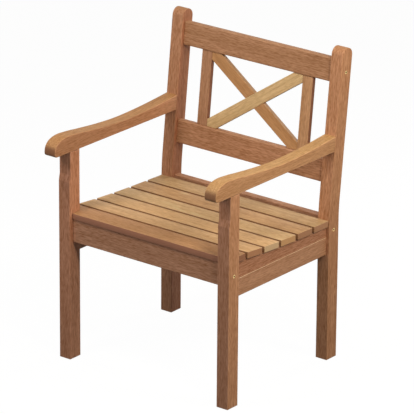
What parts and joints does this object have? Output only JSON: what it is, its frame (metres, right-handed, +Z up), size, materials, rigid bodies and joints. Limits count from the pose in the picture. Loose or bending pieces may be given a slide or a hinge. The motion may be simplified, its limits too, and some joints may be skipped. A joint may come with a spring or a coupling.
{
  "type": "slatted garden armchair",
  "caption": "Upright hardwood garden armchair with a slatted dished seat, shaped armrests and a cross back between two back rails.",
  "frame": {"origin": "on the floor, at the middle of the chair's overall width and depth", "axes": "+Z up, the sitter faces -Y, +X to the sitter's left hand when seated, which is the right of the chair seen from the front"},
  "size_m": [0.6, 0.6036, 0.906],
  "materials": {
    "teak_frame": "planed and oiled",
    "teak_arm": "sanded and oiled",
    "teak_seat": "planed and oiled",
    "teak_pale": "planed and oiled",
    "beech_dowel": "turned, unfinished",
    "bolt_brass": "passivated",
    "nut_zinc": "zinc plated"
  },
  "bodies": {
    "root": {"apron_barrel_nut_left": "nut_zinc", "apron_barrel_nut_right": "nut_zinc", "apron_bolt_left": "bolt_brass", "apron_bolt_right": "bolt_brass", "apron_dowel_left": "beech_dowel", "apron_dowel_right": "beech_dowel", "armrest_left": "teak_arm", "armrest_right": "teak_arm", "back_diagonal_falling": "teak_frame", "back_diagonal_rising": "teak_pale", "back_stile_left": "teak_frame", "back_stile_right": "teak_frame", "front_apron": "teak_frame", "front_leg_left": "teak_frame", "front_leg_right": "teak_frame", "lower_back_rail": "teak_frame", "rear_post_left": "teak_frame", "rear_post_right": "teak_frame", "rear_seat_rail": "teak_frame", "seat_bearer_left": "teak_frame", "seat_bearer_right": "teak_frame", "seat_rail_barrel_nut_left": "nut_zinc", "seat_rail_barrel_nut_right": "nut_zinc", "seat_rail_bolt_left": "bolt_brass", "seat_rail_bolt_right": "bolt_brass", "seat_rail_dowel_left": "beech_dowel", "seat_rail_dowel_right": "beech_dowel", "seat_slat_1": "teak_seat", "seat_slat_2": "teak_seat", "seat_slat_3": "teak_seat", "seat_slat_4": "teak_seat", "seat_slat_5": "teak_seat", "seat_slat_6": "teak_seat", "side_rail_left": "teak_frame", "side_rail_right": "teak_frame", "slat_dowel_1_left": "beech_dowel", "slat_dowel_1_right": "beech_dowel", "slat_dowel_2_left": "beech_dowel", "slat_dowel_2_right": "beech_dowel", "slat_dowel_3_left": "beech_dowel", "slat_dowel_3_right": "beech_dowel", "slat_dowel_4_left": "beech_dowel", "slat_dowel_4_right": "beech_dowel", "slat_dowel_5_left": "beech_dowel", "slat_dowel_5_right": "beech_dowel", "slat_dowel_6_left": "beech_dowel", "slat_dowel_6_right": "beech_dowel", "top_back_rail": "teak_frame", "top_rail_barrel_nut_left": "nut_zinc", "top_rail_barrel_nut_right": "nut_zinc", "top_rail_bolt_left": "bolt_brass", "top_rail_bolt_right": "bolt_brass", "top_rail_dowel_left": "beech_dowel", "top_rail_dowel_right": "beech_dowel"}
  },
  "joints": []
}
